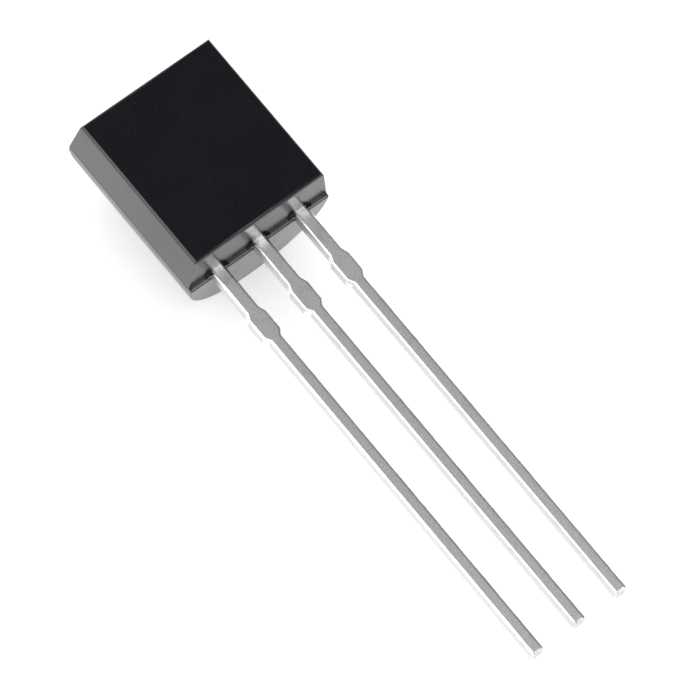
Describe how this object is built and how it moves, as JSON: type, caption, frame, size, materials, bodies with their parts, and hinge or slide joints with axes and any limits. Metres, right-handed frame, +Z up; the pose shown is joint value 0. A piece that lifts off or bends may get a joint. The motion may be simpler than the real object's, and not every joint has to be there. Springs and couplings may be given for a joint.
{
  "type": "to-92 transistor",
  "caption": "Small through-hole transistor: black moulded case with a flat front and a round back, on straight tinned leads with dam bar bulges.",
  "frame": {"origin": "middle of the footprint, on the surface that the part lies on", "axes": "+Z up; +Y along the part from the lead tips to the case; +X across the leads, from the emitter lead to the collector lead. The part lies as it comes to rest, flat face up, on the lower edge of its round back and on its lead tips, so the leads fall about 9 degrees towards -Y"},
  "size_m": [0.0042, 0.017, 0.0041],
  "materials": {
    "case_epoxy": "matte",
    "tinned_lead": "satin",
    "silicon": "polished",
    "silver_epoxy": "matte",
    "gold_wire": "polished"
  },
  "bodies": {
    "root": {"case": "case_epoxy", "emitter_lead": "tinned_lead", "base_lead": "tinned_lead", "collector_lead": "tinned_lead", "die": "silicon", "die_attach": "silver_epoxy", "base_bond_wire": "gold_wire", "emitter_bond_wire": "gold_wire"}
  },
  "joints": []
}
